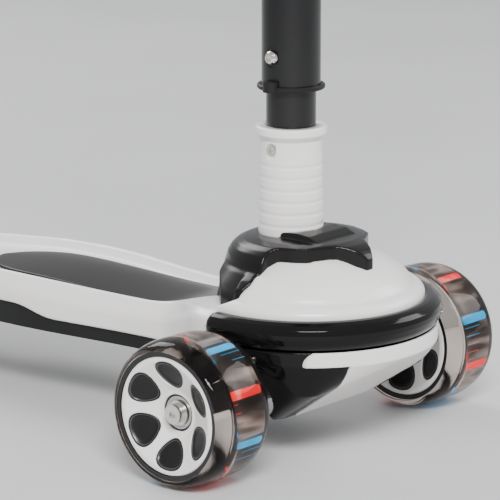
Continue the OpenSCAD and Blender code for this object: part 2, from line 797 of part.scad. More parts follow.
module centring_bush() {
    color("#3a3024") at_axle() king_frame() difference() {
        translate([0, 0, -truck_half - 0.3])
            cylinder(r = king_r + running_gap + bush_t, h = 2 * truck_half + 0.6);
        translate([0, 0, -truck_half - 1]) cylinder(r = king_r + running_gap, h = 2 * truck_half + 2);
    }
}

// Front axle bolt at the left; the right one is its mirror image
module axle_bolt() {
    color("silver") translate([0, 0, front_r]) difference() {
        union() {
            x_rod(bearing_bore, arm_end - 32, axle_x + hub_half + 1);
            x_rod(8.35, axle_x + hub_half + 0.2, axle_x + hub_half + 1.6);
            x_rod(6.6, axle_x + hub_half + 1.5, axle_x + hub_half + 6.5);
        }
        translate([axle_x + hub_half + 6.5, 0, 0]) rotate([0, -90, 0]) hex_socket(2.9, 3.4);
    }
}

module magnet_core() {
    color("#505058") translate([0, 0, front_r]) difference() {
        x_rod(hub_bore - 1, axle_x - hub_half + bearing_t + 0.2, axle_x + hub_half - bearing_t - 0.2);
        x_rod(bearing_bore + seat_gap, axle_x - hub_half, axle_x + hub_half);
    }
}

module front_tyre() {
    color([0.45, 0.42, 0.4, 0.6]) spun(axle_x) polygon(concat(
        tyre_edge(core_r, tyre_t, half_w, 22),
        [[core_r + seat_gap, -half_w], [core_r + seat_gap, half_w]]));
}

module wheel_rim(w, r, n) {
    lip = disc_lip;
    difference() {
        rotate([0, 90, 0]) rotate_extrude() polygon([
            [r, w - 0.7], [r, 0.7 - w], [r - lip, 0.7 - w], [r - lip, 3.2 - w],
            [r - core_t, 3.2 - w], [r - core_t, -2], [hub_mid_r, -2], [hub_ring + 1, -6],
            [hub_ring, -8], [hub_ring, -hub_half], [bearing_r + seat_gap, -hub_half],
            [bearing_r + seat_gap, bearing_t - hub_half], [hub_bore, bearing_t - hub_half],
            [hub_bore, hub_half - bearing_t], [bearing_r + seat_gap, hub_half - bearing_t],
            [bearing_r + seat_gap, hub_half], [hub_ring, hub_half], [hub_ring, 8],
            [hub_ring + 1, 6], [hub_mid_r, 2], [r - core_t, 2], [r - core_t, w - 3.2],
            [r - lip, w - 3.2], [r - lip, w - 0.7]]);
        light_boxes(w, r, n, 0);
    }
}

module light_boxes(w, r, n, g) {
    for (i = [0:n - 1]) rotate([360 * (i + 0.5) / n, 0, 0])
        translate([light_inset - w + g, -light_w / 2 + g, r - light_deep - 0.4 + g])
            cube([2 * (w - light_inset) - 2 * g, light_w - 2 * g, light_deep + (g > 0 ? 0 : 5) - 2 * g]);
}

module front_rim() {
    color("#18181a") translate([axle_x, 0, front_r]) wheel_rim(half_w, core_r, light_bars);
}

module front_lights() {
    color("red") translate([axle_x, 0, front_r])
        light_boxes(half_w, core_r, light_bars, seat_gap);
}

// Dished cover of a wheel, "back" further in and "g" smaller at its edge
module disc_body(back, g) {
    f = half_w - 0.9 - back;
    rotate([0, 90, 0]) rotate_extrude() polygon([
        [disc_r - seat_gap - g, f - 1], [disc_r - 1 - g, f], [disc_r - 4, f],
        [hub_ring + 3, f - dish], [hub_ring + 0.2, f - dish], [hub_ring + 0.2, f - dish - disc_t],
        [hub_ring + 3.4, f - dish - disc_t], [disc_r - 3.8, f - disc_t - 0.1],
        [disc_r - seat_gap - g, f - disc_t - 0.1]]);
}

module egg_prisms(grow) {
    for (i = [0:disc_holes - 1]) rotate([90 + 360 * i / disc_holes, 0, 0])
        rotate([90, 0, 90]) linear_extrude(60) polygon(egg(grow));
}

module wheel_disc() {
    difference() {
        disc_body(0, 0);
        egg_prisms(0);
    }
}

module disc_outer() {
    color("white") translate([axle_x, 0, front_r]) wheel_disc();
}

module disc_inner() {
    color("white") translate([axle_x, 0, front_r]) mirror([1, 0, 0]) wheel_disc();
}

module disc_inserts() {
    color("#1c1c1f") translate([axle_x, 0, front_r]) for (s = [0, 1]) mirror([s, 0, 0])
        intersection() {
            disc_body(0.9, 0);
            egg_prisms(-seat_gap);
        }
}

module bearing_pair(r_in) {
    color("gainsboro") for (s = [0, 1]) mirror([s, 0, 0]) rotate([0, 90, 0]) rotate_extrude()
        polygon([[r_in, hub_half - bearing_t + 0.05], [bearing_r, hub_half - bearing_t + 0.05],
            [bearing_r, hub_half - 0.05], [9.4, hub_half - 0.05], [9.2, hub_half - 0.5],
            [6.2, hub_half - 0.5], [6, hub_half - 0.05], [r_in, hub_half - 0.05]]);
}

module front_bearings() {
    translate([axle_x, 0, front_r]) bearing_pair(bearing_bore + running_gap);
}

module left() {
    at_axle() children();
}

module right() {
    at_axle() mirror([1, 0, 0]) children();
}

module at_rear() {
    translate([0, axle_y + wheelbase, rear_r]) children();
}

module tyre_rear() {
    color([0.45, 0.42, 0.4, 0.6]) at_rear() rotate([0, 90, 0]) rotate_extrude() polygon(concat(
        tyre_edge(rear_core, tyre_t, rear_half, 18),
        [[rear_core + seat_gap, -rear_half], [rear_core + seat_gap, rear_half]]));
}

module rim_rear() {
    color("#18181a") at_rear() wheel_rim(rear_half, rear_core, rear_light_n);
}

module lights_rear() {
    color("red") at_rear() light_boxes(rear_half, rear_core, rear_light_n, seat_gap);
}

module bearings_rear() {
    at_rear() bearing_pair(bearing_bore + running_gap);
}

module magnet_rear() {
    far = cheek_in - 0.2;
    color("#505058") at_rear() difference() {
        union() {
            x_rod(hub_bore - 1, -hub_half + bearing_t + 0.2, hub_half - bearing_t - 0.2);
            for (s = [-1, 1]) x_rod(5.8, s > 0 ? hub_half + 0.1 : -far, s > 0 ? far : -hub_half - 0.1);
        }
        x_rod(bearing_bore + seat_gap, -60, 60);
    }
}

module axle_rear() {
    out = cheek_in + cheek_t + 0.2;
    color("silver") at_rear() difference() {
        union() {
            x_rod(bearing_bore, -out - 1, out + 7);
            x_rod(7, -out - 5, -out);
            translate([out, 0, 0]) rotate([0, 90, 0]) cylinder(r = 7.4, h = 6, $fn = 6);
        }
        translate([-out - 5, 0, 0]) rotate([0, 90, 0]) hex_socket(2.9, 3.4);
    }
}

// Foot brake over the rear wheel, swinging on a pin in front of it
module brake_fender() {
    w = 2 * (cheek_in - 1);
    color("#1a1a1c") translate([0, axle_y, 0]) difference() {
        union() {
            intersection() {
                translate([0, wheelbase, rear_r]) difference() {
                    x_rod(fender_r + fender_t, -w / 2, w / 2);
                    x_rod(fender_r, -w, w);
                }
                rotate([90, 0, 90]) translate([0, 0, -w]) linear_extrude(2 * w)
                    polygon([[wheelbase, rear_r - 4], [wheelbase - 60, rear_r + 90],
                        [wheelbase + 90, rear_r + 90], [wheelbase + 90, rear_r - 4]]);
            }
            translate([0, brake_y, brake_z]) x_rod(barrel_r, -w / 2, w / 2);
            translate([-w / 2, brake_y, brake_z - 1.5]) cube([w, 22, fender_t]);
        }
        translate([0, brake_y, brake_z]) x_rod(brake_pin_r + running_gap, -w, w);
        translate([-spring_w / 2 - 1, brake_y - 9, brake_z - 9]) cube([spring_w + 2, 18, 20]);
        translate([0, wheelbase, rear_r]) rotate([-14, 0, 0])
            translate([0, 0, fender_r - 1]) cylinder(r = 2.1, h = 10);
    }
}

module brake_shoe() {
    color("#34302c") translate([0, axle_y + wheelbase, rear_r]) rotate([-14, 0, 0]) union() {
        intersection() {
            difference() {
                x_rod(fender_r - seat_gap, -12, 12);
                x_rod(fender_r - shoe_t, -20, 20);
            }
            translate([-12, -14, 0]) cube([24, 28, 80]);
        }
        translate([0, 0, fender_r - 1]) cylinder(r = 2, h = fender_t);
    }
}

module brake_pin() {
    out = cheek_in + cheek_t + 0.2;
    color("silver") translate([0, axle_y + brake_y, brake_z]) union() {
        x_rod(brake_pin_r, -out - 0.5, out + 1.5);
        x_rod(brake_pin_r + 2, -out - 2, -out);
    }
}

// Torsion spring wound round the brake pin, its end resting under the fender
module brake_spring() {
    coils = 5;
    wire = spring_w / coils / 2;
    color("gray") translate([0, axle_y + brake_y, brake_z]) {
        rotate([0, 90, 0]) rotate_extrude() polygon(concat(
            [[brake_pin_r + 0.4, -spring_w / 2], [brake_pin_r + 0.4, spring_w / 2]],
            [for (i = [0:coils - 1], k = [0:1])
                [brake_pin_r + 1.4 + k, spring_w / 2 - wire * (2 * i + k)]],
            [[brake_pin_r + 1.4, -spring_w / 2]]));
        translate([-spring_w / 2 + wire, 0, -brake_pin_r - 1.2]) rotate([120, 0, 0])
            cylinder(r = wire * 0.8, h = 5);
        translate([spring_w / 2 - wire, 0, -brake_pin_r - 1]) rotate([-88, 0, 0])
            cylinder(r = wire * 0.7, h = 11);
    }
}

module inner_tube() {
    r_in = inner_r - tube_wall;
    color("silver") at_axle() translate([0, stem_y, 0]) difference() {
        tube(inner_r, r_in, inner_z, bar_z - bar_d / 2 - 0.5);
        translate([-peg_r - 0.3, 0, slot_low - peg_r - 0.5])
            cube([2 * peg_r + 0.6, 40, bar_travel + 2 * peg_r + 1]);
        translate([0, 0, bar_z - 24]) x_rod(2.6, -60, 60);
    }
}

module bar_joint() {
    sock = inner_r + seat_gap;
    color("#1a1a1c") at_axle() translate([0, stem_y, 0]) difference() {
        union() {
            translate([0, 0, bar_z - 36]) cylinder(r1 = sock + 3, r2 = sock + 4.5, h = 36);
            translate([0, 0, bar_z]) x_rod(bar_d / 2 + 5, -32, 32);
            translate([0, 0, bar_z]) sphere(r = sock + 4.5);
        }
        translate([0, 0, bar_z - 60]) cylinder(r = sock, h = 60 - bar_d / 2 - 0.3);
        translate([0, 0, bar_z]) x_rod(bar_d / 2 + seat_gap, -60, 60);
        translate([0, 0, bar_z - 24]) x_rod(2.6, -60, 60);
    }
}

module joint_bolt() {
    out = inner_r + 5;
    color("silver") at_axle() translate([0, stem_y, bar_z - 24]) difference() {
        union() {
            x_rod(2.5, -out - 1, out + 3.5);
            x_rod(4.2, -out - 3, -out);
            translate([out, 0, 0]) rotate([0, 90, 0]) cylinder(r = 4.6, h = 3, $fn = 6);
        }
        translate([-out - 3, 0, 0]) rotate([0, 90, 0]) hex_socket(1.6, 2);
    }
}

module crossbar() {
    color("silver") at_axle() translate([0, stem_y, bar_z]) difference() {
        x_rod(bar_d / 2, 3 - bar_w / 2, bar_w / 2 - 3);
        x_rod(bar_d / 2 - 2, -bar_w, bar_w);
    }
}

// Grip at the left with rings, a hand stop and a closed end
module grip() {
    r = grip_d / 2;
    end = bar_w / 2;
    long = 92;
    color("#242426") translate([0, stem_y, bar_z]) rotate([0, 90, 0]) rotate_extrude()
        polygon(concat([[0, end], [0, end - 2.6], [bar_d / 2 + seat_gap, end - 2.6],
            [bar_d / 2 + seat_gap, end - long], [r + 3, end - long], [r + 4, end - long + 1.5],
            [r + 3, end - long + 4], [r - 1.6, end - long + 6]],
            [for (i = [0:8], k = [0:1]) [r - 1.6 + 1.6 * k, end - long + 12 + 8 * i + k * 2]],
            [[r, end - 8], [r + 1.5, end - 6], [r + 1.5, end - 2], [r - 1, end]]));
}

deck_shell();
deck_base();
deck_pad();
deck_screws();
front_bumper();
chin_trim();
lower_housing();
housing_screws();
saddle_cover();
neck_sleeve();
neck_screw();
lower_tube();
tube_bolt();
outer_tube();
end_ring();
guide_peg();
clamp_collar();
clamp_bolt();
clamp_lever();
chassis();
kingpin_bolt();
kingpin_nut();
steer_stops();
truck_beam();
centring_bush();
left() axle_bolt();  // axle_left
right() axle_bolt();  // axle_right
left() magnet_core();  // magnet_left
right() magnet_core();  // magnet_right
left() front_tyre();  // tyre_left
left() front_rim();  // rim_left
left() disc_outer();  // disc_outer_left
left() disc_inner();  // disc_inner_left
left() disc_inserts();  // inserts_left
left() front_lights();  // lights_left
left() front_bearings();  // bearings_left
right() front_tyre();  // tyre_right
right() front_rim();  // rim_right
right() disc_outer();  // disc_outer_right
right() disc_inner();  // disc_inner_right
right() disc_inserts();  // inserts_right
right() front_lights();  // lights_right
right() front_bearings();  // bearings_right
tyre_rear();
rim_rear();
lights_rear();
bearings_rear();
axle_rear();
magnet_rear();
brake_fender();
brake_shoe();
brake_pin();
brake_spring();
inner_tube();
bar_joint();
joint_bolt();
crossbar();
left() grip();  // grip_left
right() grip();  // grip_right
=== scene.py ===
import math

import bmesh
import bpy
from mathutils import Matrix, Vector


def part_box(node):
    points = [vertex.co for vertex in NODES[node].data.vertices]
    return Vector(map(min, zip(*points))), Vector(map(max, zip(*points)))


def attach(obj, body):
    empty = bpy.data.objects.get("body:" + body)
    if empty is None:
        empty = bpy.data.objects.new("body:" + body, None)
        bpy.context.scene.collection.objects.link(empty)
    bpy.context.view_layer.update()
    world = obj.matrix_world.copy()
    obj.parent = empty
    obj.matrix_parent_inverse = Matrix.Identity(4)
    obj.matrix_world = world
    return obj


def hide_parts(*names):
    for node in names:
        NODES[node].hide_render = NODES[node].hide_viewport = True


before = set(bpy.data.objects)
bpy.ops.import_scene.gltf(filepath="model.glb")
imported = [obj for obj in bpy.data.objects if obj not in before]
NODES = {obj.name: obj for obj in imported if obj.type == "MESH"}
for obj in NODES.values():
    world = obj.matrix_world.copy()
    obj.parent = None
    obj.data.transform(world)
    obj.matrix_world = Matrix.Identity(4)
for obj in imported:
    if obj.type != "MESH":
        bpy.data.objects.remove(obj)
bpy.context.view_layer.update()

TAU = 2 * math.pi


# ---------------------------------------------------------------- places from the frame
def mid(node):
    lo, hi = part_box(node)
    return (Vector(lo) + Vector(hi)) / 2


def size(node):
    lo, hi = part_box(node)
    return Vector(hi) - Vector(lo)


MM = 0.001
AXLE = mid("tyre_left")            # centre of the left front wheel
AY = AXLE.y                        # the front axle's place along the scooter
WHEEL_R = size("tyre_left").z / 2 / MM
WHEEL_HALF = size("tyre_left").x / 2 / MM
REAR = mid("tyre_rear")
REAR_R = size("tyre_rear").z / 2 / MM
REAR_HALF = size("tyre_rear").x / 2 / MM
STEM_Y = (mid("lower_tube").y - AY) / MM
STEM_R = size("lower_tube").x / 2 / MM
HEAD_Y = 3.0                       # the head's centre, behind the front axle
BUMPER_R = size("front_bumper").x / 2 / MM
NECK_LO, NECK_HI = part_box("neck_sleeve")[0][2] / MM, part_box("neck_sleeve")[1][2] / MM


def P(x, y, z):
    """Millimetres from the front axle's middle on the ground, to metres in the row frame."""
    return Vector((x * MM, AY + y * MM, z * MM))


# ---------------------------------------------------------------- camera
SENSOR, LENS = 36.0, 207.59
EYE, TARGET = P(-1477.9, -1205.4, 586.7), P(-64.2, 0, 145.8)
ROLL = math.radians(-0.105)


def make_camera():
    data = bpy.data.cameras.new("photo_camera")
    cam = bpy.data.objects.new("photo_camera", data)
    bpy.context.collection.objects.link(cam)
    data.sensor_width = SENSOR
    data.lens = LENS
    data.clip_start, data.clip_end = 0.05, 50.0
    rot = (TARGET - EYE).to_track_quat("-Z", "Y").to_matrix()
    roll = Matrix.Rotation(ROLL, 3, "Z")
    cam.matrix_world = Matrix.Translation(EYE) @ (rot @ roll).to_4x4()
    bpy.context.scene.camera = cam


make_camera()


# ---------------------------------------------------------------- materials
def principled(name, color, rough, metal=0.0, coat=0.0, coat_rough=0.05, spec=0.5,
               transmission=0.0, ior=1.5, emit=None, emit_strength=0.0):
    m = bpy.data.materials.new(name)
    m.use_nodes = True
    b = m.node_tree.nodes["Principled BSDF"]
    b.inputs["Base Color"].default_value = (*color, 1)
    b.inputs["Roughness"].default_value = rough
    b.inputs["Metallic"].default_value = metal
    b.inputs["Coat Weight"].default_value = coat
    b.inputs["Coat Roughness"].default_value = coat_rough
    b.inputs["Specular IOR Level"].default_value = spec
    b.inputs["Transmission Weight"].default_value = transmission
    b.inputs["IOR"].default_value = ior
    if emit:
        b.inputs["Emission Color"].default_value = (*emit, 1)
        b.inputs["Emission Strength"].default_value = emit_strength
    return m, m.node_tree.nodes, m.node_tree.links, b


def noise(nodes, links, scale, detail=3.0, rough=0.5, stretch=None):
    tc = nodes.new("ShaderNodeTexCoord")
    n = nodes.new("ShaderNodeTexNoise")
    n.inputs["Scale"].default_value = scale
    n.inputs["Detail"].default_value = detail
    n.inputs["Roughness"].default_value = rough
    if stretch:
        mp = nodes.new("ShaderNodeMapping")
        mp.inputs["Scale"].default_value = stretch
        links.new(tc.outputs["Object"], mp.inputs["Vector"])
        links.new(mp.outputs["Vector"], n.inputs["Vector"])
    else:
        links.new(tc.outputs["Object"], n.inputs["Vector"])
    return n


def ramp(nodes, links, source, stops):
    r = nodes.new("ShaderNodeValToRGB")
    el = r.color_ramp.elements
    el[0].position, el[0].color = stops[0][0], (*stops[0][1], 1)
    el[1].position, el[1].color = stops[-1][0], (*stops[-1][1], 1)
    for pos, col in stops[1:-1]:
        e = el.new(pos)
        e.color = (*col, 1)
    links.new(source, r.inputs["Fac"])
    return r


def varied(name, low, high, rough, spread=0.06, scale=9.0, bump=0.0, bump_scale=900.0, **kw):
    """A surface whose colour and roughness drift a little over the object."""
    m, nodes, links, b = principled(name, low, rough, **kw)
    n = noise(nodes, links, scale)
    r = ramp(nodes, links, n.outputs["Fac"], [(0.3, low), (0.7, high)])
    links.new(r.outputs["Color"], b.inputs["Base Color"])
    mr = nodes.new("ShaderNodeMapRange")
    mr.inputs["To Min"].default_value = max(0.02, rough - spread)
    mr.inputs["To Max"].default_value = rough + spread
    links.new(n.outputs["Fac"], mr.inputs["Value"])
    links.new(mr.outputs["Result"], b.inputs["Roughness"])
    if bump:
        n2 = noise(nodes, links, bump_scale, 2.0)
        bp = nodes.new("ShaderNodeBump")
        bp.inputs["Strength"].default_value = bump
        bp.inputs["Distance"].default_value = 0.0004
        links.new(n2.outputs["Fac"], bp.inputs["Height"])
        links.new(bp.outputs["Normal"], b.inputs["Normal"])
    return m


MAT = {
    "white": varied("white_moulding", (0.87, 0.835, 0.81), (0.90, 0.87, 0.845), 0.30, 0.04,
                    coat=0.3, coat_rough=0.2),
    "gloss": varied("black_gloss", (0.0035, 0.0033, 0.0034), (0.006, 0.0055, 0.0055), 0.10, 0.03,
                    spec=0.22),
    "saddle": varied("black_semi_gloss", (0.005, 0.0045, 0.0043), (0.008, 0.0072, 0.007), 0.24, 0.05,
                     spec=0.25),
    "satin": varied("black_satin", (0.007, 0.007, 0.0075), (0.012, 0.012, 0.0125), 0.42, 0.06,
                    bump=0.12, spec=0.25),
    "core": varied("black_core", (0.006, 0.006, 0.0065), (0.011, 0.0105, 0.011), 0.34, 0.06, spec=0.3),
    "pad": varied("foot_pad_rubber", (0.006, 0.0048, 0.0042), (0.010, 0.0082, 0.0072), 0.3, 0.05,
                  bump=0.08, bump_scale=500, spec=0.18),
    "rubber": varied("soft_rubber", (0.022, 0.022, 0.024), (0.032, 0.032, 0.034), 0.6, 0.08,
                     bump=0.25),
    "tube": varied("black_tube", (0.007, 0.007, 0.0075), (0.011, 0.011, 0.0115), 0.22, 0.04, spec=0.35),
    "alloy": varied("satin_alloy", (0.62, 0.62, 0.63), (0.72, 0.72, 0.73), 0.28, 0.05, metal=1.0),
    "steel": varied("plain_steel", (0.50, 0.50, 0.50), (0.62, 0.62, 0.61), 0.3, 0.08, metal=1.0,
                    scale=60.0),
    "chrome": varied("bright_bolt", (0.70, 0.67, 0.62), (0.82, 0.80, 0.76), 0.16, 0.05, metal=1.0,
                     scale=120.0),
    "cast": varied("cast_alloy", (0.10, 0.10, 0.11), (0.15, 0.15, 0.16), 0.5, 0.08, metal=0.6,
                   bump=0.3, bump_scale=350),
    "magnet": varied("magnet_core", (0.16, 0.16, 0.17), (0.22, 0.22, 0.23), 0.45, 0.08, metal=0.7),
    "border": varied("insert_border", (0.035, 0.034, 0.034), (0.05, 0.049, 0.048), 0.3, 0.05),
}


def tyre_material():
    m, nodes, links, b = principled("smoky_clear_tyre", (0.6, 0.52, 0.47), 0.02,
                                    transmission=1.0, ior=1.22, spec=0.3)
    n = noise(nodes, links, 28, 2.0)
    r = ramp(nodes, links, n.outputs["Fac"], [(0.35, (0.54, 0.45, 0.395)), (0.65, (0.70, 0.62, 0.57))])
    links.new(r.outputs["Color"], b.inputs["Base Color"])
    return m


def light_material(name, color, strength):
    m, nodes, links, b = principled(name, color, 0.35, emit=color, emit_strength=strength)
    n = noise(nodes, links, 60, 1.0)
    r = ramp(nodes, links, n.outputs["Fac"], [(0.3, tuple(0.7 * c for c in color)), (0.62, color),
                                              (0.72, tuple(min(1, c + 0.35) for c in color))])
    links.new(r.outputs["Color"], b.inputs["Emission Color"])
    return m


MAT["tyre"] = tyre_material()
MAT["red"] = light_material("light_red", (1.0, 0.0, 0.012), 1.5)
MAT["cyan"] = light_material("light_cyan", (0.0, 0.44, 1.0), 1.7)


# ---------------------------------------------------------------- mesh helpers
def mesh_object(name, verts, faces, mats, body, smooth=True, face_mats=None):
    me = bpy.data.meshes.new(name)
    me.from_pydata([tuple(v) for v in verts], [], faces)
    me.validate()
    for m in mats:
        me.materials.append(m)
    if face_mats:
        for p, i in zip(me.polygons, face_mats):
            p.material_index = i
    bm = bmesh.new()
    bm.from_mesh(me)
    bmesh.ops.remove_doubles(bm, verts=bm.verts, dist=1e-7)
    bmesh.ops.recalc_face_normals(bm, faces=bm.faces)
    bm.to_mesh(me)
    bm.free()
    for p in me.polygons:
        p.use_smooth = smooth
    ob = bpy.data.objects.new(name, me)
    bpy.context.collection.objects.link(ob)
    if body:
        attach(ob, body)
    return ob


def rounded(points, radius, steps=4):
    """Closed profile with its corners rounded; radius is one number or one per point."""
    out, n = [], len(points)
    for i, p in enumerate(points):
        r = radius[i] if isinstance(radius, (list, tuple)) else radius
        a, b, c = Vector(points[i - 1]), Vector(p), Vector(points[(i + 1) % n])
        u, v = a - b, c - b
        if r <= 0 or u.length < 1e-9 or v.length < 1e-9:
            out.append(tuple(b))
            continue
        ang = u.angle(v)
        cut = min(r / max(math.tan(ang / 2), 1e-6), 0.46 * u.length, 0.46 * v.length)
        s, e = b + u.normalized() * cut, b + v.normalized() * cut
        for k in range(steps + 1):
            t = k / steps
            out.append(tuple((1 - t) ** 2 * s + 2 * t * (1 - t) * b + t * t * e))
    return out


def lathe(name, profile, centre, axis, mats, body, seg=128):
    """Turns a closed profile of (radius, along) in millimetres about an axis through centre."""
    z = Vector(axis).normalized()
    x = z.orthogonal().normalized()
    y = z.cross(x)
    c = Vector(centre)
    n = len(profile)
    verts, faces = [], []
    for k in range(seg):
        a = TAU * k / seg
        d = x * math.cos(a) + y * math.sin(a)
        for r, h in profile:
            verts.append(c + d * (r * MM) + z * (h * MM))
    for k in range(seg):
        k2 = (k + 1) % seg
        for i in range(n):
            j = (i + 1) % n
            if profile[i][0] < 1e-6 and profile[j][0] < 1e-6:
                continue
            faces.append([k * n + i, k * n + j, k2 * n + j, k2 * n + i])
    return mesh_object(name, verts, faces, mats, body)


def loft(name, rings, mats, body):
    """Closed skin through rings of equal length, with a cap at each end."""
    n = len(rings[0])
    verts = [v for ring in rings for v in ring]
    faces = []
    for i in range(len(rings) - 1):
        for k in range(n):
            k2 = (k + 1) % n
            faces.append([i * n + k, i * n + k2, (i + 1) * n + k2, (i + 1) * n + k])
    faces.append(list(range(n))[::-1])
    faces.append([(len(rings) - 1) * n + k for k in range(n)])
    return mesh_object(name, verts, faces, mats, body)


EDGE_ANGLE = math.radians(38)


def bevel(ob, width, segments):
    m = ob.modifiers.new("edge", "BEVEL")
    m.width = width * MM
    m.segments = segments
    m.limit_method = "ANGLE"
    m.angle_limit = EDGE_ANGLE
    m.use_clamp_overlap = True


def bake(ob):
    """Applies the object's modifiers."""
    dg = bpy.context.evaluated_depsgraph_get()
    me = bpy.data.meshes.new_from_object(ob.evaluated_get(dg), depsgraph=dg)
    old = ob.data
    ob.modifiers.clear()
    ob.data = me
    bpy.data.meshes.remove(old)
    for p in me.polygons:
        p.use_smooth = True


def soften(ob, voxel, rounds):
    """Remeshes the object and smooths it, which rounds its edges."""
    m = ob.modifiers.new("remesh", "REMESH")
    m.mode = "VOXEL"
    m.voxel_size = voxel * MM
    m.use_smooth_shade = True
    s = ob.modifiers.new("smooth", "SMOOTH")
    s.factor = 0.5
    s.iterations = rounds
    bake(ob)


def cut(ob, tool):
    """Takes the tool's shape out of the object and removes the tool."""
    m = ob.modifiers.new("cut", "BOOLEAN")
    m.operation = "DIFFERENCE"
    m.solver = "MANIFOLD"
    m.object = tool
    bake(ob)
    bpy.data.objects.remove(tool)


def join(obs):
    """Joins several helper meshes into the first one."""
    bm = bmesh.new()
    for o in obs:
        bm.from_mesh(o.data)
    bm.to_mesh(obs[0].data)
    bm.free()
    for o in obs[1:]:
        bpy.data.objects.remove(o)
    return obs[0]


def copy_of(node, name, mat):
    """Copy of a CAD node's mesh with one material and its doubled points merged."""
    me = NODES[node].data.copy()
    me.name = name
    me.materials.clear()
    me.materials.append(mat)
    ob = bpy.data.objects.new(name, me)
    bpy.context.collection.objects.link(ob)
    ob.matrix_world = NODES[node].matrix_world.copy()
    bm = bmesh.new()
    bm.from_mesh(me)
    bmesh.ops.remove_doubles(bm, verts=bm.verts, dist=2e-6)
    bm.to_mesh(me)
    bm.free()
    for p in me.polygons:
        p.material_index = 0
    return ob


def ease(a, b, t):
    t = max(0.0, min(1.0, t))
    return a + (b - a) * (1 - math.cos(math.pi * t)) / 2


def lerp(a, b, t):
    return a + (b - a) * t


# ---------------------------------------------------------------- deck outline, as the CAD has it
SHOULDER_Y, WAIST_Y, WIDE_Y = 18.0, 95.0, 240.0
SHOULDER_HALF = (BUMPER_R + 80.0) / 2
WAIST_HALF, DECK_HALF, TAIL_HALF = 50.0, 60.0, REAR_HALF + 15
LIP_W, LIP_Z, DIP_Z, TOP_Z = 11.0, 92.0, 89.0, 105.0
REAR_Y = (REAR.y - AY) / MM
DECK_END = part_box("deck_shell")[1][1] / MM - AY / MM
DECK_START = SHOULDER_Y
RIM_R = 80.0
FOOT_R, CORE_R = RIM_R - 16.5, RIM_R - 28
DECK_WALL = 3.0
PAD_FRONT, PAD_ROUND, PAD_BACK, PAD_HALF = 40.0, 25.0, 298.0, 34.0


def deck_half(y):
    if y < WAIST_Y:
        return ease(SHOULDER_HALF, WAIST_HALF, (y - 20) / (WAIST_Y - 20))
    if y < WIDE_Y:
        return ease(WAIST_HALF, DECK_HALF, (y - WAIST_Y) / (WIDE_Y - WAIST_Y))
    return ease(DECK_HALF, TAIL_HALF, (y - WIDE_Y - 30) / (REAR_Y - WIDE_Y - 30))


def lip_height(y):
    if y < WAIST_Y + 20:
        return ease(TOP_Z, DIP_Z, (y - 26) / (WAIST_Y - 6))
    if y < WIDE_Y:
        return ease(DIP_Z, LIP_Z, (y - WAIST_Y - 20) / (WIDE_Y - WAIST_Y - 20))
    return ease(LIP_Z, DIP_Z, (y - WIDE_Y) / (DECK_END - WIDE_Y))


def floor_height(y):
    return lip_height(y) - ease(13, 7, (y - 26) / (WAIST_Y - 26))


def skirt_height(y):
    return ease(64, 71, (y - 190) / 40)


DOME = [(0, 141), (20, 140.6), (29, 139.2), (36, 136.7), (43, 133.6), (50, 130.1), (57, 126.5),
        (63, 122.8), (67.3, 119.2), (69.8, 116.2), (71.0, 114.2), (71.6, 113.0), (72.4, 112.7),
        (74.8, 112.2), (77.4, 110.6), (79.2, 108.6), (79.9, 106.6), (80.0, 104), (80.0, 80)]


def trough_half(y):
    return (WAIST_HALF if y < WAIST_Y else deck_half(y)) - LIP_W


def deck_section(y):
    """Cross-section of the deck at y, from the middle of the top round to the middle of the bottom."""
    h, lip, skirt = deck_half(y), lip_height(y), skirt_height(y)
    floor = lerp(lip, floor_height(y), max(0.0, min(1.0, (y - 38) / 8)))
    deep = (lip - floor) / 10
    crease = lip - ease(5, 11.5, (y - 26) / 60)
    t = trough_half(y)
    half = [(0, floor), ((t - 9) * 0.5, floor), (t - 9, floor), (t - 5.5, floor + 0.9 * deep),
            (t - 1.8, lip - 4.2 * deep), (t + 0.4, lip - 0.9 * deep), (t + 3, lip), (h - 6.4, lip - 0.9),
            (h - 3.0, lerp(lip, crease, 0.55)), (h - 0.9, crease + 1.2), (h, crease - 1.6),
            (h, lerp(crease, skirt, 0.5)), (h, skirt + 1.0), (h - 1.0, skirt), (h * 0.6, skirt), (0, skirt)]
    ring = half + [(-x, z) for x, z in half[-2:0:-1]]
    return [P(x, y, z) for x, z in ring]


def spread(a, b, n):
    return [a + (b - a) * i / n for i in range(n + 1)]


def behind_dome(drop, end):
    """Prism over the deck behind the head, where the dome stops."""
    side = [(4 - drop, 113.5 - drop), (10.7 - drop, 110.2 - drop), (21 - drop, 106 - drop), (end, 95 - drop),
            (end, 30), (153, 30), (153, 180), (4 - drop, 180)]
    return loft("behind_dome", [[P(x, y, z) for y, z in side] for x in (-100, 100)], [], None)


